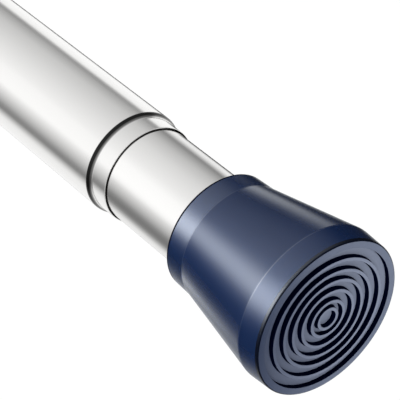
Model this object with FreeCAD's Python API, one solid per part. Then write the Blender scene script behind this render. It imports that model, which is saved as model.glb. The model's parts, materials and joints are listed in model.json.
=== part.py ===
import FreeCAD, Part
import math
import os

# Spring tension rod, in millimetres.
# X runs along the rod, from the wall face of the fixed foot towards the near foot. Z is up.
# The steel outer tube ends in a necked mouth, and a thinner steel tube slides in it.
# A ribbed foot grips the wall at each end. Inside, an eccentric cam locks the two tubes
# when the inner one is twisted, and a compression spring pushes the near foot outwards.

# Feet: the same moulded form at both ends
face_r = 20.0          # rim of the gripping face
face_round = 0.4       # rounding of that rim
band_r = 20.4          # cylinder band behind the face, at its crease with the cone
band_len = 6.2
cone_len = 26.4
cone_end_r = 15.65     # crease between the cone and the neck
neck_len = 6.2
neck_r = 15.4
neck_round = 0.5
crease_round = 0.6     # rounding of both creases
floor_t = 9.0          # solid rubber between the face and the tube's plug
socket_fit = 0.05      # radial room between a foot's socket and its tube

# Gripping face: ribs that stand in one round recess
recess_r = 18.1
recess_depth = 1.2
rib_radii = (2.6, 4.6, 7.3, 9.95, 12.45, 15.3)
rib_top = 0.85
rib_foot = 1.0

# Tubes
outer_r = 14.0
outer_wall = 0.6
outer_len = 353.5
inner_r = 12.7
inner_wall = 0.6
rest_bare = 27.4       # bare inner tube between the mouth and the near foot, as stored
far_room = 11.6        # room between the far plug and the lock, as stored

# Necked mouth of the outer tube
lip_len = 5.2
lip_wall = 0.45
lip_round = 0.12
step_len = 0.6
step_round = 1.5       # wide rounding where the tube starts to narrow
root_round = 0.15      # tight rounding where the step meets the lip

# Fits
run_fit = 0.08         # radial room where one piece slides or turns in another
seat_fit = 0.05        # radial room where one piece is fixed in another
face_gap = 0.2         # room between end faces that turn past each other
lead_round = 0.6       # rounded lead-in of a piece that is pushed into a tube

# Plugs in the outside ends of the tubes
cap_flange_t = 1.5
cap_body_len = 12.0
cap_body_wall = 3.0
cap_web_t = 3.0

# Guide plug at the inner end of the inner tube
guide_flange_t = 2.5
guide_len = 20.0
guide_pin_place = 10.0     # from the inner tube's end
pin_r = 1.5
guide_pin_len = 4.5
pin_sink = 0.1             # how far the pin ends lie below the tube's skin

# Spindle
spindle_r = 3.5
flat_across = 5.4          # across the two flats that stop it from turning in the guide plug
shoulder_r = 5.5
shoulder_t = 1.8
thread_r = 2.5
thread_len = 9.0
thread_edge = 0.5
travel = 20.0              # stroke of the spring
travel_spare = 1.1         # room left between guide plug and shoulder at full stroke
head_rest = 0.1            # gap between the spring washer and the guide plug

# Spring and its seats
spring_mean_r = 10.0
wire_r = 1.1
coils = 10.0
spring_len = 70.0
washer_t = 2.0
washer_r = 11.6
nut_across = 8.0
nut_t = 4.0
stop_len = 18.0
stop_spigot_len = 5.0
spigot_room = 0.3          # radial room between the spigot and the coils
spigot_round = 1.0
stop_hole_r = 4.0

# Friction bush that keeps the lock centred in the outer tube
bush_len = 10.0
bush_wall = 1.4
bush_web = 3.5
bush_slots = 4
bush_slot_w = 2.0
thrust_t = 1.0
thrust_r = 8.0

# Cam lock
cam_offset = 0.6           # eccentricity
cam_r = 9.0
cam_len = 15.0
grip_gap = 0.5             # room between the centred lock ring and the outer tube's bore
ring_split = 1.5
teeth = 24
tooth_r = 0.45
cam_pin_r = 1.25
cam_pin_place = 8.5        # from the cam's free end
cam_pin_sink = 0.6
end_washer_t = 1.0
end_washer_r = 11.0
screw_head_r = 4.5
screw_head_t = 2.8
screw_head_round = 1.2
screw_r = 2.0
screw_len = 5.5
screw_slot_len = 5.8
screw_slot_w = 1.2
screw_slot_depth = 1.4

AXIS = FreeCAD.Vector(1, 0, 0)
UP = FreeCAD.Vector(0, 0, 1)
SIDE = FreeCAD.Vector(0, 1, 0)
ORIGIN = FreeCAD.Vector(0, 0, 0)

# Radii that follow from the sizes above
outer_bore = outer_r - outer_wall
inner_bore = inner_r - inner_wall
lip_bore = inner_r + run_fit
lip_r = lip_bore + lip_wall
ring_r = outer_bore - grip_gap

# Places along the rod
foot_len = band_len + cone_len + neck_len
outer_start = floor_t + cap_flange_t
mouth = outer_start + outer_len
near_face = mouth + rest_bare + foot_len
inner_end = near_face - outer_start

# Places of the lock, the guide plug and the spring, counted from the far plug
screw_start = outer_start + cap_body_len + far_room
end_washer_start = screw_start + screw_head_t
cam_start = end_washer_start + end_washer_t
bush_start = cam_start + cam_len + face_gap
bush_end = bush_start + bush_len
thrust_start = bush_end + face_gap
shoulder_start = thrust_start + thrust_t
shoulder_end = shoulder_start + shoulder_t
guide_face = shoulder_end + travel_spare + travel
inner_start = guide_face + guide_flange_t
guide_back = inner_start + guide_len
washer_start = guide_back + head_rest
spring_start = washer_start + washer_t
spring_end = spring_start + spring_len


def turned(corners):
    """Solid turned about the rod's axis. A corner is (x, r) or (x, r, rounding)."""
    spots = [FreeCAD.Vector(corner[0], corner[1], 0) for corner in corners]
    entries = []
    exits = []
    arcs = []
    for index, corner in enumerate(corners):
        here = spots[index]
        rounding = corner[2] if len(corner) > 2 else 0
        if rounding == 0:
            entries.append(here)
            exits.append(here)
            arcs.append(None)
            continue
        back = (spots[index - 1] - here).normalize()
        ahead = (spots[(index + 1) % len(spots)] - here).normalize()
        half = back.getAngle(ahead) / 2
        inward = (back + ahead).normalize()
        entries.append(here + back * (rounding / math.tan(half)))
        exits.append(here + ahead * (rounding / math.tan(half)))
        middle = here + inward * (rounding / math.sin(half) - rounding)
        arcs.append(Part.Arc(entries[-1], middle, exits[-1]).toShape())
    edges = []
    for index, arc in enumerate(arcs):
        if arc:
            edges.append(arc)
        edges.append(Part.LineSegment(exits[index], entries[(index + 1) % len(arcs)]).toShape())
    return Part.Face(Part.Wire(edges)).revolve(ORIGIN, AXIS, 360)


def tube(start, length, radius, bore):
    return turned([(start, bore), (start, radius), (start + length, radius), (start + length, bore)])


def rod(start, length, radius, direction=AXIS):
    return Part.makeCylinder(radius, length, start, direction)


def on_axis(place):
    return FreeCAD.Vector(place, 0, 0)


def block(centre, size_x, size_y, size_z):
    corner = centre - FreeCAD.Vector(size_x / 2, size_y / 2, size_z / 2)
    return Part.makeBox(size_x, size_y, size_z, corner)


def cross_hole(place, radius, reach):
    """Round cutter that crosses the axis sideways at a place."""
    return rod(on_axis(place) - SIDE * reach, 2 * reach, radius, SIDE)


def foot(tube_r):
    """Moulded foot with its ribbed face at x = 0 and its socket open towards +X."""
    corners = [(recess_depth, 0)]
    for rib in rib_radii:
        corners.append((recess_depth, rib - rib_foot / 2))
        corners.append((0, rib - rib_top / 2))
        corners.append((0, rib + rib_top / 2))
        corners.append((recess_depth, rib + rib_foot / 2))
    cone_end = band_len + cone_len
    socket_r = tube_r + socket_fit
    corners.append((recess_depth, recess_r))
    corners.append((0, recess_r))
    corners.append((0, face_r, face_round))
    corners.append((band_len, band_r, crease_round))
    corners.append((cone_end, cone_end_r, crease_round))
    corners.append((foot_len, neck_r, neck_round))
    corners.append((foot_len, socket_r))
    corners.append((floor_t, socket_r))
    corners.append((floor_t, 0))
    return turned(corners)


def end_plug(tube_r, bore):
    """Cup pressed into a tube's end, with a flange that spreads the push over the foot."""
    body_r = bore - seat_fit
    flange_end = floor_t + cap_flange_t
    body_end = flange_end + cap_body_len
    hollow_r = body_r - cap_body_wall
    web_end = flange_end + cap_web_t
    return turned([(floor_t, 0), (floor_t, tube_r), (flange_end, tube_r), (flange_end, body_r),
                   (body_end, body_r, lead_round), (body_end, hollow_r), (web_end, hollow_r), (web_end, 0)])


def at_near_end(shape):
    """The same piece at the other end of the rod, facing the other way."""
    flipped = shape.copy()
    flipped.rotate(ORIGIN, UP, 180)
    flipped.translate(on_axis(near_face))
    return flipped


def outer_tube():
    neck_start = mouth - lip_len
    step_start = neck_start - step_len
    bore_end = step_start - lip_wall / 2
    return turned([(outer_start, outer_bore), (outer_start, outer_r), (step_start, outer_r, step_round),
                   (neck_start, lip_r, root_round), (mouth, lip_r, lip_round), (mouth, lip_bore),
                   (bore_end + outer_bore - lip_bore, lip_bore), (bore_end, outer_bore)])


def inner_tube():
    shape = tube(inner_start, inner_end - inner_start, inner_r, inner_bore)
    for place in (inner_start + guide_pin_place, spring_end + stop_len / 2):
        shape = shape.cut(cross_hole(place, pin_r + seat_fit, outer_r))
    return shape


def double_flat(start, length, radius, across):
    """Round bar with two flats that face up and down."""
    centre = on_axis(start + length / 2)
    return rod(on_axis(start), length, radius).common(block(centre, length, 2 * radius, across))


def guide_plug():
    body_r = inner_bore - seat_fit
    flange_r = outer_bore - run_fit
    shape = turned([(guide_face, 0), (guide_face, flange_r), (inner_start, flange_r),
                    (inner_start, body_r), (guide_back, body_r, lead_round), (guide_back, 0)])
    length = guide_back - guide_face
    shape = shape.cut(double_flat(guide_face, length, spindle_r + run_fit, flat_across + 2 * run_fit))
    depth = guide_pin_len + seat_fit
    for way in (1, -1):
        start = on_axis(inner_start + guide_pin_place) + SIDE * way * (inner_r - pin_sink - depth)
        shape = shape.cut(rod(start, depth + inner_wall, pin_r + seat_fit, SIDE * way))
    return shape


def guide_pin(way):
    start = on_axis(inner_start + guide_pin_place) + SIDE * way * (inner_r - pin_sink - guide_pin_len)
    return rod(start, guide_pin_len, pin_r, SIDE * way)


def spring_stop():
    body_r = inner_bore - seat_fit
    spigot_r = spring_mean_r - wire_r - spigot_room
    spigot_start = spring_end - stop_spigot_len
    stop_end = spring_end + stop_len
    shape = turned([(spigot_start, stop_hole_r), (spigot_start, spigot_r, spigot_round),
                    (spring_end, spigot_r), (spring_end, body_r), (stop_end, body_r, lead_round),
                    (stop_end, stop_hole_r)])
    return shape.cut(cross_hole(spring_end + stop_len / 2, pin_r + seat_fit, outer_r))


def stop_pin():
    reach = inner_r - pin_sink
    return rod(on_axis(spring_end + stop_len / 2) - SIDE * reach, 2 * reach, pin_r, SIDE)


def spring():
    """Round wire coil, its ends ground flat against the washer and the stop."""
    rise = (spring_len + wire_r) / coils
    helix = Part.makeHelix(rise, rise * coils, spring_mean_r)
    section = Part.Wire(Part.Circle(FreeCAD.Vector(spring_mean_r, 0, 0), SIDE, wire_r).toShape())
    coil = Part.Wire(helix).makePipeShell([section], True, True)
    coil.rotate(ORIGIN, SIDE, 90)
    coil.translate(on_axis(spring_start - wire_r / 2))
    keep = rod(on_axis(spring_start), spring_len, inner_bore)
    return coil.common(keep)


def spring_washer():
    return tube(washer_start, washer_t, washer_r, thread_r + seat_fit)


def spindle_nut():
    corner_r = nut_across / 2 / math.cos(math.pi / 6)
    corners = []
    for step in range(7):
        turn = math.radians(60 * step)
        corners.append(FreeCAD.Vector(spring_start, corner_r * math.cos(turn), corner_r * math.sin(turn)))
    shape = Part.Face(Part.makePolygon(corners)).extrude(AXIS * nut_t)
    return shape.cut(rod(on_axis(spring_start), nut_t, thread_r + seat_fit))


def spindle():
    tip = washer_start + thread_len
    shape = turned([(cam_start, 0), (cam_start, spindle_r), (shoulder_start, spindle_r),
                    (shoulder_start, shoulder_r), (shoulder_end, shoulder_r), (shoulder_end, spindle_r),
                    (washer_start, spindle_r), (washer_start, thread_r), (tip, thread_r, thread_edge),
                    (tip, 0)])
    length = washer_start - shoulder_end
    middle = on_axis(shoulder_end + length / 2)
    for way in (1, -1):
        flat = block(middle + UP * way * (flat_across / 2 + spindle_r), length, 4 * spindle_r, 2 * spindle_r)
        shape = shape.cut(flat)
    shape = shape.cut(rod(on_axis(cam_start), screw_len + seat_fit, screw_r + seat_fit))
    return shape.cut(cross_hole(cam_start + cam_pin_place, cam_pin_r + seat_fit, cam_r))


def thrust_washer():
    return tube(thrust_start, thrust_t, thrust_r, spindle_r + seat_fit)


def friction_bush():
    """Cup whose slotted rim bears on the outer tube's bore while the spindle turns in its web."""
    rim_r = outer_bore - run_fit
    hollow_r = rim_r - bush_wall
    web_end = bush_start + bush_web
    bore = spindle_r + run_fit
    shape = turned([(bush_start, bore), (bush_start, rim_r, lead_round), (bush_end, rim_r),
                    (bush_end, hollow_r), (web_end, hollow_r), (web_end, bore)])
    slot_len = bush_end - web_end
    slot = block(on_axis(web_end + slot_len / 2) + UP * (rim_r - bush_wall / 2),
                 slot_len, bush_slot_w, 2 * bush_wall)
    for step in range(bush_slots):
        cutter = slot.copy()
        cutter.rotate(ORIGIN, AXIS, 360 / bush_slots * (step + 0.5))
        shape = shape.cut(cutter)
    return shape


def cam_centre(place):
    return FreeCAD.Vector(place, 0, cam_offset)


def cam_core():
    shape = rod(cam_centre(cam_start), cam_len, cam_r)
    shape = shape.cut(rod(on_axis(cam_start), cam_len, spindle_r + seat_fit))
    return shape.cut(cross_hole(cam_start + cam_pin_place, cam_pin_r + seat_fit, 2 * cam_r))


def cam_pin():
    reach = cam_r - cam_pin_sink
    return rod(on_axis(cam_start + cam_pin_place) - SIDE * reach, 2 * reach, cam_pin_r, SIDE)


def lock_ring():
    """Split ring with an eccentric bore and a toothed skin, which wedges in the outer tube."""
    start = cam_start + face_gap
    length = cam_len - face_gap
    shape = rod(on_axis(start), length, ring_r)
    shape = shape.cut(rod(cam_centre(start), length, cam_r + run_fit))
    cutter = rod(on_axis(start) + UP * ring_r, length, tooth_r)
    for step in range(teeth):
        groove = cutter.copy()
        groove.rotate(ORIGIN, AXIS, 360 / teeth * (step + 0.5))
        shape = shape.cut(groove)
    wall_middle = (ring_r + cam_offset + cam_r) / 2
    split = block(on_axis(start + length / 2) + UP * wall_middle, length, ring_split, ring_r - cam_r)
    return shape.cut(split)


def end_washer():
    return tube(end_washer_start, end_washer_t, end_washer_r, screw_r + seat_fit)


def end_screw():
    tip = cam_start + screw_len
    shape = turned([(screw_start, 0), (screw_start, screw_head_r, screw_head_round),
                    (end_washer_start, screw_head_r), (end_washer_start, screw_r), (tip, screw_r), (tip, 0)])
    middle = on_axis(screw_start + screw_slot_depth / 2)
    shape = shape.cut(block(middle, screw_slot_depth, screw_slot_len, screw_slot_w))
    return shape.cut(block(middle, screw_slot_depth, screw_slot_w, screw_slot_len))


pieces = {
    "outer_tube": outer_tube(),
    "far_foot": foot(outer_r),
    "far_end_plug": end_plug(outer_r, outer_bore),
    "inner_tube": inner_tube(),
    "near_foot": at_near_end(foot(inner_r)),
    "near_end_plug": at_near_end(end_plug(inner_r, inner_bore)),
    "guide_plug": guide_plug(),
    "guide_pin_front": guide_pin(-1),
    "guide_pin_back": guide_pin(1),
    "spring_stop": spring_stop(),
    "stop_pin": stop_pin(),
    "spring": spring(),
    "spring_washer": spring_washer(),
    "spindle_nut": spindle_nut(),
    "spindle": spindle(),
    "thrust_washer": thrust_washer(),
    "friction_bush": friction_bush(),
    "cam_core": cam_core(),
    "cam_pin": cam_pin(),
    "lock_ring": lock_ring(),
    "end_washer": end_washer(),
    "end_screw": end_screw(),
}

os.makedirs("parts", exist_ok=True)
for name, shape in pieces.items():
    shape.exportStep("parts/" + name + ".step")
    print(name, shape.ShapeType, len(shape.Solids), shape.isValid(), round(shape.Volume, 2))
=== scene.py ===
import json
import math

import bmesh
import bpy
from mathutils import Matrix, Vector


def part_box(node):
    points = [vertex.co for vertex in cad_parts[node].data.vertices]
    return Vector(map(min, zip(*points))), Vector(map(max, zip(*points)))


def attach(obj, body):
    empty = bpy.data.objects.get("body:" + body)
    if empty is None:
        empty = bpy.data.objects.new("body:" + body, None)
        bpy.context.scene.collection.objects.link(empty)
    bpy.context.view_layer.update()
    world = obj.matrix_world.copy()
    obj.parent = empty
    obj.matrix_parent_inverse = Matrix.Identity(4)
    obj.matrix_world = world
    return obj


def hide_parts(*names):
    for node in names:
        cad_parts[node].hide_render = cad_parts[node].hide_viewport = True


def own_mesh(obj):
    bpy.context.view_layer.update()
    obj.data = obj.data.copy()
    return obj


# Spring tension rod: two bright steel tubes, one sliding in the other, with a ribbed navy foot at each end
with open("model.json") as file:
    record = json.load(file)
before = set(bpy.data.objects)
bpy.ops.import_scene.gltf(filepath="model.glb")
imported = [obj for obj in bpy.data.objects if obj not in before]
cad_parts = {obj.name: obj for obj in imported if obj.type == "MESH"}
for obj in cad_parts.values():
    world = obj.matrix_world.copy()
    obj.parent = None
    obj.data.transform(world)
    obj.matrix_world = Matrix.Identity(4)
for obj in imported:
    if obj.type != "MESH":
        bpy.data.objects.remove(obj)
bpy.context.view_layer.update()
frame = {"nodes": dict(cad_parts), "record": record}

MM = 0.001
AXIS = Vector((1, 0, 0))

# Places along the rod, read from the frame
near_low, near_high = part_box("near_foot")
far_low, far_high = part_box("far_foot")
outer_low, outer_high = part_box("outer_tube")
inner_low, inner_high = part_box("inner_tube")
near_face = near_high.x
mouth = outer_high.x
foot_len = far_high.x - far_low.x

# Foot, as moulded
face_r = 20.0 * MM
face_round = 0.4 * MM
band_r = 20.4 * MM
band_len = 6.2 * MM
cone_end = 32.6 * MM
cone_end_r = 15.65 * MM
neck_r = 15.4 * MM
neck_round = 0.5 * MM
crease_round = 0.35 * MM
floor_t = 9.0 * MM
socket_fit = 0.05 * MM
recess_r = 18.1 * MM
recess_depth = 1.2 * MM
rib_radii = [r * MM for r in (2.6, 4.6, 7.3, 9.95, 12.45, 15.3)]
rib_top = 0.85 * MM
rib_foot = 1.0 * MM
rib_round = 0.08 * MM

# Tubes
outer_r = 14.0 * MM
outer_bore = 13.4 * MM
inner_r = 12.7 * MM
inner_bore = 12.1 * MM
lip_len = 5.2 * MM
lip_r = 13.23 * MM
lip_bore = 12.78 * MM
lip_round = 0.12 * MM
step_len = 0.6 * MM
step_round = 1.5 * MM
root_round = 0.15 * MM
pin_hole_r = 1.55 * MM
hole_room = 4.0 * MM

# Meshes: steps of each rounding, how near two points count as one, and what edge is crisp
ROUND_STEPS = 160
HOLE_STEPS = 48
RIB_STEPS = 2
LIP_STEPS = 3
CREASE_STEPS = 4
EDGE_STEPS = 6
MOUTH_STEPS = 12
WELD = 0.001 * MM
LOOP_SLACK = 0.002 * MM
CRISP = math.radians(35)

# Camera: its turn about the upright and its tilt down, where the middle of the near face lies from it,
# and its lens, all fitted to the outlines in the photograph
CAMERA_TURN = math.radians(52.178)
CAMERA_TILT = math.radians(37.882)
FACE_RIGHT = 28.148 * MM
FACE_DOWN = 26.169 * MM
FACE_AHEAD = 381.22 * MM
LENS = 156.2
SENSOR = 36.0
CLIP_START = 10.0 * MM

# Navy rubber; a pair of colours is what a noise pattern wanders between
SKIN = ((0.0030, 0.0152, 0.063, 1), (0.0037, 0.0180, 0.073, 1))
ETCHED = ((0.128, 0.153, 0.222, 1), (0.160, 0.187, 0.265, 1))
RECESS_GREY = (0.36, 0.40, 0.52, 1)
RECESS_SHARE = 0.30
# Painted shade on the gripping faces, darker towards -y: its colour, the share of the face colour along the
# way, where the middle lies and how far the noise moves it
SIDE_SHADE_DARK = (0.010, 0.022, 0.064, 1)
SIDE_SHADE_STOPS = ((0, 0.12), (0.17, 0.40), (0.5, 0.84), (1, 1.0))
SIDE_SHADE_MIDDLE = 0.45
SIDE_SHADE_CLOUD = 0.1
# Painted highlight: a faint pale stripe at each crease of the foot, with its colour, share and half-width
CREASE_HIGHLIGHT = (0.42, 0.46, 0.56, 1)
CREASE_HIGHLIGHT_SHARE = 0.05
CREASE_HIGHLIGHT_HALF = 0.09 * MM
# Painted shade: a dark stripe on the rounded rim of each gripping face, within this reach of the end
RIM_SHADE_COLOUR = (0.0006, 0.0024, 0.010, 1)
RIM_SHADE = 0.9 * MM
# Painted shade, dark and with no gloss, on the groove sides and on floor strips of this width beside the ribs
# and the rim
GROOVE_SHADE_COLOUR = (0.0006, 0.0022, 0.015, 1)
CORNER_START = 0.02 * MM
CORNER_SHADE = 0.09 * MM
# Painted shade: a dark ring with no gloss, within this reach of the end of each neck
NECK_SHADE = 0.72 * MM
FACE_REACH = 1.5 * MM
END_ON = 0.95
SKIN_ROUGH = 0.22
CLOUD_ROUGH = 0.04
ETCHED_ROUGH = 0.25
SHEEN_TINT = (0.90, 0.94, 1, 1)

# Tube steel, with a dark reflection painted on its drawn step and dark shade painted on the end of the lip
STEEL = ((0.83, 0.825, 0.815, 1), (0.87, 0.865, 0.855, 1))
STEP_SHADE_COLOUR = (0.02, 0.02, 0.02, 1)
STEP_REACH = 0.95 * MM
STEP_SHADE = ((0, 1.0), (0.10, 0.0), (0.62, 0.0), (0.86, 0.25), (1, 1.0))
LIP_SHADE = 0.04 * MM
LIP_BRIGHT = 0.2 * MM
DRAWN_LINES = (14.0, 1800.0, 1800.0)
STEEL_ROUGH = 0.12
LINES_ROUGH = 0.05
STAIN_ROUGH = 0.03

# Hidden pieces, by material slot: two colours, metallic, roughness and the fineness of the pattern
HIDDEN_FINISHES = {
    "black_nylon": ((0.02, 0.02, 0.023, 1), (0.035, 0.035, 0.04, 1), 0.0, 0.42, 90.0),
    "white_nylon": ((0.72, 0.71, 0.67, 1), (0.80, 0.79, 0.76, 1), 0.0, 0.45, 90.0),
    "plain_steel": ((0.55, 0.55, 0.55, 1), (0.66, 0.66, 0.65, 1), 1.0, 0.28, 120.0),
    "spring_steel": ((0.26, 0.26, 0.27, 1), (0.36, 0.36, 0.37, 1), 1.0, 0.32, 160.0),
}
GRAIN_FINER = 20
HIDDEN_WANDER = 0.1

# World and floor: what dull faces, reflections and the eye meet
WHITE = (1, 1, 1, 1)
PAPER = (0.9, 0.9, 0.9, 1)
DAYLIGHT = (0.27, 0.27, 0.27, 1)
DIM = (0.03, 0.03, 0.03, 1)
ROD_MIDDLE = 0.2
FLOOR_HALF = 6.0
FLOOR_HEIGHT = -0.45
FLOOR_WHITE = 0.93

# Fill lamps: how steeply the front one stands, in degrees, and how far off each is, in metres
FRONT_RISE = 55
FRONT_AWAY = 1.6
FRONT_ALONG = 0.3
FACE_AWAY = Vector((1.2, -0.1, 0.1))
FLOOR_LAMP_HEIGHT = 2.0

# Tents: pairs of degrees round the rod, from the crown towards the back, and brightness. They follow
# measures of the streaks in the photograph, rounded and thinned out, and adjusted in trial renders.
TENT_STEPS = 32
CROWN_RISE = 50
COOL = (0.95, 0.98, 1, 1)
OUTER_LEVELS = (
    (-180, 0.0), (-173, 0.0), (-167, 0.75), (-160, 0.96), (-150, 1.0), (-114, 0.96), (-105, 0.77),
    (-97, 0.46), (-90, 0.19), (-81, 0.26), (-70, 0.50), (-48, 0.92), (-39, 1.12), (-8, 1.06),
    (2, 0.98), (42, 0.78), (75, 0.62), (95, 0.41), (103, 0.26), (109, 0.38), (114, 1.0), (136, 1.06),
    (155, 1.05), (159, 0.45), (162, 0.0), (180, 0.0),
)
INNER_LEVELS = (
    (-180, 0.0), (-174, 0.0), (-166, 0.78), (-160, 0.90), (-138, 0.89), (-128, 0.75), (-118, 0.44),
    (-109, 0.22), (-98, 0.17), (-87, 0.24), (-78, 0.41), (-58, 0.78), (-48, 1.08), (-39, 1.16),
    (-8, 1.11), (2, 1.03), (14, 0.94), (52, 0.78), (84, 0.57), (105, 0.34), (115, 0.20), (122, 0.48),
    (130, 0.80), (142, 0.97), (151, 0.86), (157, 0.30), (161, 0.0), (180, 0.0),
)
FOOT_LEVELS = (
    (-180, 1.10), (-168, 1.05), (-158, 0.80), (-145, 0.58), (-132, 0.48), (-120, 0.14), (-108, 0.0),
    (-86, 0.0), (-76, 0.05), (-66, 0.26), (-57, 0.90), (-48, 3.2), (-38, 10.4), (-30, 14.8),
    (-18, 15.0), (-9, 10.8), (2, 5.5), (12, 3.7), (22, 3.15), (32, 2.6), (42, 2.05), (52, 1.6),
    (62, 1.27), (72, 0.86), (82, 0.50), (92, 0.20), (102, 0.03), (112, 0.0), (157, 0.0), (166, 0.9),
    (180, 1.05),
)
CONE_LEVELS = (
    (-176, 0.20), (-166, 0.60), (-154, 0.40), (-147, 1.50), (-139, 2.10), (-130, 1.40), (-120, 0.75),
    (-110, 0.30), (-100, 0.06), (-90, 0.0), (95, 0.0), (103, 0.03), (110, 0.40), (119, 1.50),
    (131, 2.10), (140, 1.15), (147, 0.0), (157, 0.05), (166, 1.0), (180, 0.50),
)
# Tents: pairs of the x of a direction and its share of that brightness
ALL_ALONG = ((-1, 1.0), (1, 1.0))
FOOT_SHARES = (
    (-1, 0.02), (-0.93, 0.02), (-0.89, 0.36), (-0.82, 0.46), (-0.68, 1.16), (-0.61, 1.14),
    (-0.53, 0.92), (-0.30, 0.7), (0.05, 0.6), (0.22, 0.03), (0.58, 0.03), (0.66, 0.10), (0.76, 0.10),
    (0.84, 0.02), (1, 0.02),
)
CONE_SHARES = ((-1, 1.0), (-0.69, 1.0), (-0.65, 0.0), (1, 0.0))


class Wire:
    """An output socket that takes part in sums and products; each one adds a Math node."""

    def __init__(self, board, socket):
        self.board = board
        self.socket = socket

    def __add__(self, other):
        return self.board.maths("ADD", self, other)

    def __sub__(self, other):
        return self.board.maths("SUBTRACT", self, other)

    def __mul__(self, other):
        return self.board.maths("MULTIPLY", self, other)

    def __gt__(self, other):
        return self.board.maths("GREATER_THAN", self, other)

    def __lt__(self, other):
        return self.board.maths("LESS_THAN", self, other)

    __radd__ = __add__
    __rmul__ = __mul__

    def __rsub__(self, other):
        return self.board.maths("SUBTRACT", other, self)

    def size(self):
        """The value without its sign."""
        return self.board.maths("ABSOLUTE", self)


class Board:
    """The node board of a material or of the world."""

    def __init__(self, tree):
        self.tree = tree
        tree.nodes.clear()

    def node(self, kind, settings=None, inputs=None, output=0):
        """A new node: its settings come first, then the values or links of its sockets."""
        made = self.tree.nodes.new(kind)
        for name, value in (settings or {}).items():
            if name == "stops":
                set_stops(made.color_ramp, value)
            else:
                setattr(made, name, value)
        for name, value in (inputs or {}).items():
            if isinstance(value, Wire):
                self.tree.links.new(value.socket, made.inputs[name])
            else:
                made.inputs[name].default_value = value
        return Wire(self, made.outputs[output]) if len(made.outputs) else None

    def maths(self, operation, *terms):
        return self.node("ShaderNodeMath", {"operation": operation}, dict(enumerate(terms)))

    def dot(self, vector, other):
        return self.node("ShaderNodeVectorMath", {"operation": "DOT_PRODUCT"}, {0: vector, 1: other}, "Value")

    def ramp(self, value, stops):
        return self.node("ShaderNodeValToRGB", {"stops": stops}, {"Fac": value})

    def between(self, value, low, high):
        """0 at low and below, 1 at high and above."""
        return self.node("ShaderNodeMapRange", {}, {"Value": value, "From Min": low, "From Max": high})

    def place(self, stretch=(1, 1, 1)):
        """Object coordinates, in metres, stretched along the rod's axes."""
        spot = self.node("ShaderNodeTexCoord", output="Object")
        return self.node("ShaderNodeMapping", {}, {"Vector": spot, "Scale": stretch})

    def radius(self):
        """Distance from the rod's axis."""
        beside = self.place((0, 1, 1))
        return self.node("ShaderNodeVectorMath", {"operation": "LENGTH"}, {0: beside}, "Value")

    def part(self, vector, axis):
        """The vector's part along that axis: 0 for x, 1 for y and 2 for z."""
        return self.node("ShaderNodeSeparateXYZ", {}, {0: vector}, axis)

    def noise(self, place, scale, detail, roughness=0.5):
        settings = {"Vector": place, "Scale": scale, "Detail": detail, "Roughness": roughness}
        return self.node("ShaderNodeTexNoise", {}, settings)

    def mix_colour(self, factor, first, second):
        """Inputs 6 and 7 of the node are its two colours, and output 2 is the mixed one."""
        return self.node("ShaderNodeMix", {"data_type": "RGBA"}, {"Factor": factor, 6: first, 7: second}, 2)

    def bump(self, height, strength, distance):
        settings = {"Height": height, "Strength": strength, "Distance": distance}
        return self.node("ShaderNodeBump", {}, settings)

    def seen_by(self, ray):
        """1 for that kind of ray and 0 for the others."""
        return self.node("ShaderNodeLightPath", output=ray)

    def finish(self, shade_share=None, shade_colour=None, **sockets):
        """The material's shader; a share of it may be painted shade: a dull colour with no gloss."""
        values = {name.replace("_", " "): value for name, value in sockets.items()}
        shader = self.node("ShaderNodeBsdfPrincipled", {}, values)
        if shade_share is not None:
            dull = self.node("ShaderNodeBsdfPrincipled", {},
                             {"Base Color": shade_colour, "Roughness": 1.0, "Specular IOR Level": 0.0})
            shader = self.node("ShaderNodeMixShader", {}, {"Fac": shade_share, 1: shader, 2: dull})
        self.node("ShaderNodeOutputMaterial", {}, {"Surface": shader})


def set_stops(ramp, stops):
    while len(ramp.elements) > 1:
        ramp.elements.remove(ramp.elements[-1])
    for index, (place, value) in enumerate(stops):
        stop = ramp.elements[0] if index == 0 else ramp.elements.new(place)
        stop.position = place
        stop.color = (value, value, value, 1)


def new_material(name):
    """A material and its empty node board."""
    material = bpy.data.materials.new(name)
    material.use_nodes = True
    return material, Board(material.node_tree)


def spun(name, corners, roundings):
    """Piece spun about the rod's axis from (x, r) corners; roundings are (corner, width, steps)."""
    mesh = bmesh.new()
    points = [mesh.verts.new((x, r, 0)) for x, r in corners]
    # An outline that starts on the axis stays open there
    closed = corners[0][1] > 0
    pairs = list(zip(points, points[1:] + points[:1]))
    edges = [mesh.edges.new(pair) for pair in (pairs if closed else pairs[:-1])]
    bmesh.ops.spin(mesh, geom=points + edges, cent=(0, 0, 0), axis=AXIS, angle=math.tau,
                   steps=ROUND_STEPS, use_merge=True, use_duplicate=False)
    bmesh.ops.remove_doubles(mesh, verts=mesh.verts, dist=WELD)
    bmesh.ops.recalc_face_normals(mesh, faces=mesh.faces)
    for corner, width, steps in roundings:
        round_off(mesh, corner, width, steps)
    return finished(name, mesh)


def round_off(mesh, corner, width, steps):
    """Bevels the edge loop that runs round the rod through an outline corner."""

    def on_loop(vert):
        radius = math.hypot(vert.co.y, vert.co.z)
        return abs(vert.co.x - corner[0]) < LOOP_SLACK and abs(radius - corner[1]) < LOOP_SLACK

    loop = [edge for edge in mesh.edges if all(on_loop(vert) for vert in edge.verts)]
    bmesh.ops.bevel(mesh, geom=loop, offset=width, offset_type="OFFSET", segments=steps,
                    affect="EDGES", profile=0.5, material=-1)


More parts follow.
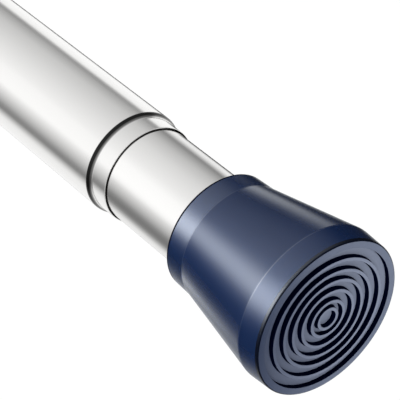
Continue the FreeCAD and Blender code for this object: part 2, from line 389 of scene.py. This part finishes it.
def finished(name, mesh):
    """Mesh object with smooth faces and crisp edges, at the origin."""
    for face in mesh.faces:
        face.smooth = True
    for edge in mesh.edges:
        edge.smooth = len(edge.link_faces) == 2 and edge.calc_face_angle() < CRISP
    data = bpy.data.meshes.new(name)
    mesh.to_mesh(data)
    mesh.free()
    piece = bpy.data.objects.new(name, data)
    even = piece.modifiers.new("even", "WEIGHTED_NORMAL")
    even.keep_sharp = True
    bpy.context.scene.collection.objects.link(piece)
    return piece


def stands_for(piece, node, body, material):
    """Puts the piece, of that material, in the node's place on its body."""
    piece.data.materials.append(material)
    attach(piece, body)
    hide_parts(node)
    return piece


def foot_outline(tube_r):
    """Corners of a foot whose face is at x = 0, with the roundings of its edges."""
    corners = [(recess_depth, 0)]
    roundings = []
    for rib in rib_radii:
        corners.append((recess_depth, rib - rib_foot / 2))
        corners.append((0, rib - rib_top / 2))
        roundings.append((corners[-1], rib_round, RIB_STEPS))
        corners.append((0, rib + rib_top / 2))
        roundings.append((corners[-1], rib_round, RIB_STEPS))
        corners.append((recess_depth, rib + rib_foot / 2))
    corners.append((recess_depth, recess_r))
    corners.append((0, recess_r))
    roundings.append((corners[-1], rib_round, RIB_STEPS))
    corners.append((0, face_r))
    roundings.append((corners[-1], face_round, EDGE_STEPS))
    corners.append((band_len, band_r))
    roundings.append((corners[-1], crease_round, CREASE_STEPS))
    corners.append((cone_end, cone_end_r))
    roundings.append((corners[-1], crease_round, CREASE_STEPS))
    corners.append((foot_len, neck_r))
    roundings.append((corners[-1], neck_round, EDGE_STEPS))
    socket_r = tube_r + socket_fit
    corners.append((foot_len, socket_r))
    corners.append((floor_t, socket_r))
    corners.append((floor_t, 0))
    return corners, roundings


def facing_on(corners, roundings):
    """The same outline at the rod's other end."""
    flipped = {corner: (near_face - corner[0], corner[1]) for corner in corners}
    return ([flipped[corner] for corner in corners],
            [(flipped[corner], width, steps) for corner, width, steps in roundings])


def outer_tube():
    """Tube with a necked mouth: a rounded step and a short lip, with a bore that follows them."""
    start = outer_low.x
    neck = (mouth - lip_len, lip_r)
    step = (neck[0] - step_len, outer_r)
    bore_end = step[0] - (lip_r - lip_bore) / 2
    rim = (mouth, lip_r)
    corners = [(start, outer_bore), (start, outer_r), step, neck, rim, (mouth, lip_bore),
               (bore_end + outer_bore - lip_bore, lip_bore), (bore_end, outer_bore)]
    # A bevel's width is this share of the radius that it gives
    bend = math.tan(math.atan2(outer_r - lip_r, step_len) / 2)
    roundings = [(step, step_round * bend, MOUTH_STEPS), (neck, root_round * bend, LIP_STEPS),
                 (rim, lip_round, LIP_STEPS)]
    return spun("outer_tube_skin", corners, roundings)


def inner_tube():
    """Plain tube, with a hole through it for a guide pin and one for the spring stop's pin."""
    start, end = inner_low.x, inner_high.x
    holes = [pin_middle("guide_pin_front"), pin_middle("stop_pin")]
    # Extra loops on both sides of each hole, so that it cuts short faces only
    beside = [place + side for place in holes for side in (-hole_room, hole_room)]
    loops = [start] + beside + [end]
    corners = [(x, inner_r) for x in loops] + [(x, inner_bore) for x in reversed(loops)]
    return drilled(spun("tube_blank", corners, []), "inner_tube_skin", holes)


def pin_middle(node):
    low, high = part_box(node)
    return (low.x + high.x) / 2


def drilled(blank, name, holes):
    """The blank with round holes sideways through it, as a piece of that name."""
    mesh = bmesh.new()
    sideways = Matrix.Rotation(math.pi / 2, 4, "X")
    for place in holes:
        made = bmesh.ops.create_cone(mesh, cap_ends=True, segments=HOLE_STEPS, radius1=pin_hole_r,
                                     radius2=pin_hole_r, depth=4 * inner_r, matrix=sideways)
        bmesh.ops.translate(mesh, verts=made["verts"], vec=(place, 0, 0))
    drill = finished("drill", mesh)
    blank.modifiers.clear()
    cut = blank.modifiers.new("cut", "BOOLEAN")
    cut.object = drill
    mesh = bmesh.new()
    mesh.from_object(blank, bpy.context.evaluated_depsgraph_get())
    bpy.data.objects.remove(blank)
    bpy.data.objects.remove(drill)
    return finished(name, mesh)


def coil_copy():
    """The spring, as a welded copy of its mesh."""
    mesh = bmesh.new()
    mesh.from_mesh(frame["nodes"]["spring"].data)
    bmesh.ops.remove_doubles(mesh, verts=mesh.verts, dist=WELD)
    return finished("spring_coil", mesh)


def navy():
    """Smooth moulded rubber with a faint pale stripe painted at each crease as its highlight. The gripping
    faces are etched and greyer, with shade painted darker towards one side. A dark stripe of painted shade
    runs round each face's rounded rim. The groove sides, the floor strips beside them and the necks' ends
    have shade painted on them, dark and with no gloss."""
    material, board = new_material("navy_rubber")
    spot = board.place()
    x = board.part(spot, 0)
    radius = board.radius()
    facing = board.node("ShaderNodeTexCoord", output="Normal")
    end_on = board.part(facing, 0).size() > END_ON
    at_ends = (x < far_low.x + FACE_REACH) + (x > near_high.x - FACE_REACH)
    at_rims = (x < far_low.x + RIM_SHADE) + (x > near_high.x - RIM_SHADE)
    # Painted shade at the end of each neck
    neck_end_shade = (x > far_high.x - NECK_SHADE) * (x < near_low.x + NECK_SHADE)
    cloud = board.noise(spot, scale=60.0, detail=3.0)
    grain = board.noise(spot, scale=2600.0, detail=2.0)

    # Painted highlight: a pale stripe round each crease
    creases = [far_low.x + band_len, far_low.x + cone_end, near_high.x - band_len, near_high.x - cone_end]
    crease_highlight = sum((x - place).size() < CREASE_HIGHLIGHT_HALF for place in creases)
    # The floor strips beside the ribs and the rim are left out of the etched face and take the painted shade
    flat = end_on * (1 - rib_foot_shade(radius))
    groove_shade = at_ends * (radius < recess_r + rib_round) * (1 - flat)
    # From -0.5 to 0.5 over the face
    across = board.part(spot, 1) * (0.5 / face_r)
    # Painted shade: the face goes darker towards -y
    side_shade = board.ramp(across + cloud * SIDE_SHADE_CLOUD + SIDE_SHADE_MIDDLE, SIDE_SHADE_STOPS)

    face = board.mix_colour(grain, *ETCHED)
    face = board.mix_colour((radius < recess_r) * RECESS_SHARE, face, RECESS_GREY)
    face = board.mix_colour(side_shade, SIDE_SHADE_DARK, face)
    colour = board.mix_colour(crease_highlight * CREASE_HIGHLIGHT_SHARE, board.mix_colour(cloud, *SKIN), CREASE_HIGHLIGHT)
    # Painted shade: a dark stripe round each face's rounded rim
    colour = board.mix_colour(at_rims * (radius > face_r - face_round), colour, RIM_SHADE_COLOUR)
    colour = board.mix_colour(at_ends * flat, colour, face)
    rough = at_ends * end_on * ETCHED_ROUGH + cloud * CLOUD_ROUGH + SKIN_ROUGH
    bump = board.bump(grain, strength=0.12, distance=0.04 * MM)
    # Painted shade, dark and with no gloss: the groove sides, the floor strips beside them and the necks'
    # ends
    dull = groove_shade + neck_end_shade * (radius > neck_r - neck_round)
    board.finish(dull, GROOVE_SHADE_COLOUR, Base_Color=colour, Roughness=rough, Normal=bump, IOR=1.45,
                 Specular_Tint=SHEEN_TINT)
    return material


def rib_foot_shade(radius):
    """Narrow strips of the recess floors at the foot of each rib and of the rim, where shade is painted."""
    strips = (radius > recess_r - CORNER_SHADE) * (radius < recess_r)
    for rib in rib_radii:
        off = (radius - rib).size()
        strips = strips + (off > rib_top / 2 + CORNER_START) * (off < rib_foot / 2 + CORNER_SHADE)
    return strips


def steel():
    """Bright drawn tube with faint lines along it. A dark reflection is painted on the drawn step, and shade
    on the inner part of the lip's end.
    """
    material, board = new_material("tube_steel")
    spot = board.place()
    x = board.part(spot, 0)
    radius = board.radius()
    lines = board.noise(board.place(DRAWN_LINES), scale=1.0, detail=3.0, roughness=0.6)
    cloud = board.noise(spot, scale=26.0, detail=2.0)
    # Painted dark reflection over the drawn step, and painted shade on the inner part of the lip's end
    into_step = board.between(x, mouth - lip_len - step_len - STEP_REACH, mouth - lip_len)
    lip_end_shade = (x > mouth - LIP_SHADE) * (radius < lip_r - LIP_BRIGHT)
    unshaded = board.ramp(into_step, STEP_SHADE) * (1 - lip_end_shade)
    on_outer = radius > inner_r + LIP_SHADE
    colour = board.mix_colour((1 - unshaded) * on_outer, board.mix_colour(cloud, *STEEL), STEP_SHADE_COLOUR)
    rough = lines * LINES_ROUGH + cloud * STAIN_ROUGH + STEEL_ROUGH
    bump = board.bump(lines, strength=0.05, distance=0.01 * MM)
    board.finish(Base_Color=colour, Metallic=1.0, Roughness=rough, Normal=bump)
    return material


def plain(name, low, high, metallic, roughness, fineness):
    """Finish of the hidden pieces: a colour that wanders a little, with a fine grain."""
    material, board = new_material(name)
    spot = board.place()
    cloud = board.noise(spot, scale=fineness, detail=3.0)
    grain = board.noise(spot, scale=GRAIN_FINER * fineness, detail=2.0)
    colour = board.mix_colour(cloud, low, high)
    rough = cloud * HIDDEN_WANDER + roughness
    bump = board.bump(grain, strength=0.15, distance=0.03 * MM)
    board.finish(Base_Color=colour, Metallic=metallic, Roughness=rough, Normal=bump)
    return material


def add_camera():
    camera = bpy.data.objects.new("camera", bpy.data.cameras.new("camera"))
    camera.data.lens = LENS
    camera.data.sensor_width = SENSOR
    camera.data.clip_start = CLIP_START
    face = Matrix.Translation((near_face, 0, 0))
    turn = Matrix.Rotation(CAMERA_TURN, 4, "Z") @ Matrix.Rotation(math.pi / 2 - CAMERA_TILT, 4, "X")
    camera.matrix_world = face @ turn @ Matrix.Translation((-FACE_RIGHT, FACE_DOWN, FACE_AHEAD))
    bpy.context.scene.collection.objects.link(camera)
    bpy.context.scene.camera = camera


def add_world():
    """White to the eye, an even daylight on dull faces, and dim in reflections, which the tents make."""
    world = bpy.data.worlds.new("studio")
    bpy.context.scene.world = world
    world.use_nodes = True
    board = Board(world.node_tree)
    soft = board.mix_colour(board.seen_by("Is Glossy Ray"), DAYLIGHT, DIM)
    seen = board.mix_colour(board.seen_by("Is Camera Ray"), soft, WHITE)
    sky = board.node("ShaderNodeBackground", {}, {"Color": seen})
    board.node("ShaderNodeOutputWorld", {}, {"Surface": sky})


def rising(degrees):
    """Direction that many degrees up from level, in front of the rod."""
    return Vector((0, -math.cos(math.radians(degrees)), math.sin(math.radians(degrees))))


def add_tent(name, radius, lit, tint, bands):
    """Soft light on all sides, which only the lit pieces reflect. A band has a share for each
    direction along the rod, and a brightness for each direction round it."""
    mesh = bmesh.new()
    bmesh.ops.create_uvsphere(mesh, u_segments=TENT_STEPS, v_segments=TENT_STEPS // 2, radius=radius)
    tent = finished(name, mesh)
    material, board = new_material(name + "_cloth")
    way = board.place()
    along = board.part(way, 0) * (0.5 / radius) + 0.5
    crown = board.dot(way, rising(CROWN_RISE))
    beside = board.dot(way, rising(CROWN_RISE + 90))
    turn = board.maths("ARCTAN2", beside, crown) * (1 / math.tau) + 0.5
    glow = 0.0
    for shares, levels in bands:
        share = board.ramp(along, [(0.5 + x / 2, value) for x, value in shares])
        level = board.ramp(turn, [(0.5 + degrees / 360, value) for degrees, value in levels])
        glow = glow + share * level
    shine = board.node("ShaderNodeEmission", {}, {"Color": tint, "Strength": glow})
    clear = board.node("ShaderNodeBsdfTransparent")
    both = board.node("ShaderNodeAddShader", {}, {0: shine, 1: clear})
    board.node("ShaderNodeOutputMaterial", {}, {"Surface": both})
    tent.data.materials.append(material)
    tent.visible_camera = False
    tent.visible_diffuse = False
    tent.visible_shadow = False
    light_only(tent, lit)


def add_floor():
    """Pale paper that shows almost white to the eye, with the rod's soft shadow on it."""
    mesh = bmesh.new()
    bmesh.ops.create_grid(mesh, x_segments=1, y_segments=1, size=FLOOR_HALF)
    bmesh.ops.translate(mesh, verts=mesh.verts, vec=(ROD_MIDDLE, 0, FLOOR_HEIGHT))
    floor = finished("floor", mesh)
    material, board = new_material("floor_paper")
    paper = board.node("ShaderNodeBsdfDiffuse", {}, {"Color": PAPER})
    white = board.node("ShaderNodeEmission", {}, {"Color": WHITE, "Strength": 1.0})
    share = board.seen_by("Is Camera Ray") * FLOOR_WHITE
    both = board.node("ShaderNodeMixShader", {}, {"Fac": share, 1: paper, 2: white})
    board.node("ShaderNodeOutputMaterial", {}, {"Surface": both})
    floor.data.materials.append(material)
    floor.visible_glossy = False
    return floor


def add_softbox(name, middle, aim, side, radiance, along=AXIS):
    """Square lamp of even radiance at a place, aimed at another; one side runs along that direction."""
    data = bpy.data.lights.new(name, "AREA")
    data.shape = "SQUARE"
    data.size = side
    data.energy = radiance * math.pi * side * side
    lamp = bpy.data.objects.new(name, data)
    back = (Vector(middle) - aim).normalized()
    across = (Vector(along) - back * back.dot(along)).normalized()
    turn = Matrix((across, back.cross(across), back)).transposed()
    lamp.matrix_world = Matrix.Translation(middle) @ turn.to_4x4()
    lamp.visible_camera = False
    bpy.context.scene.collection.objects.link(lamp)
    return lamp


def light_only(lamp, lit):
    """Keeps a lamp's light for the listed objects."""
    group = bpy.data.collections.new("lit_by_" + lamp.name)
    for each in lit:
        group.objects.link(each)
    lamp.light_linking.receiver_collection = group


add_camera()
add_world()
floor = add_floor()
front_fill = add_softbox("front_fill", middle=rising(FRONT_RISE) * FRONT_AWAY + AXIS * FRONT_ALONG,
                         aim=AXIS * ROD_MIDDLE, side=1.2, radiance=3.6)
front_fill.visible_glossy = False
face_fill = add_softbox("face_fill", middle=AXIS * near_face + FACE_AWAY, aim=AXIS * near_face,
                        side=0.8, radiance=4.2, along=(0, 1, 0))
face_fill.visible_glossy = False
floor_fill = add_softbox("floor_fill", middle=(ROD_MIDDLE, 0, FLOOR_LAMP_HEIGHT), aim=AXIS * ROD_MIDDLE,
                         side=3.0, radiance=2.4)
light_only(floor_fill, (floor,))

steel_finish = steel()
navy_finish = navy()
outer_skin = stands_for(outer_tube(), "outer_tube", "outer", steel_finish)
inner_skin = stands_for(inner_tube(), "inner_tube", "inner", steel_finish)
far_foot = spun("far_foot_skin", *foot_outline(outer_r))
near_foot = spun("near_foot_skin", *facing_on(*foot_outline(inner_r)))
stands_for(far_foot, "far_foot", "outer", navy_finish)
stands_for(near_foot, "near_foot", "inner", navy_finish)

# The nodes inside the rod keep their meshes, all but the spring, which has a copy of its own
finishes = {slot: plain(slot, *values) for slot, values in HIDDEN_FINISHES.items()}
for subpart in frame["record"]["subparts"]:
    if subpart["material_slot"] in finishes:
        node = frame["nodes"][subpart["node"]]
        node.data.materials.clear()
        node.data.materials.append(finishes[subpart["material_slot"]])

coil = stands_for(coil_copy(), "spring", "spindle", finishes["spring_steel"])
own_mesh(coil)

# Each tent is larger than the one before it, so that no two coincide
add_tent("outer_tent", radius=12.0, lit=(outer_skin,), tint=WHITE,
         bands=((ALL_ALONG, OUTER_LEVELS),))
add_tent("inner_tent", radius=13.0, lit=(inner_skin, frame["nodes"]["stop_pin"]), tint=WHITE,
         bands=((ALL_ALONG, INNER_LEVELS),))
add_tent("foot_tent", radius=14.0, lit=(far_foot, near_foot), tint=COOL,
         bands=((FOOT_SHARES, FOOT_LEVELS), (CONE_SHARES, CONE_LEVELS)))

bpy.context.scene.view_settings.view_transform = "Standard"
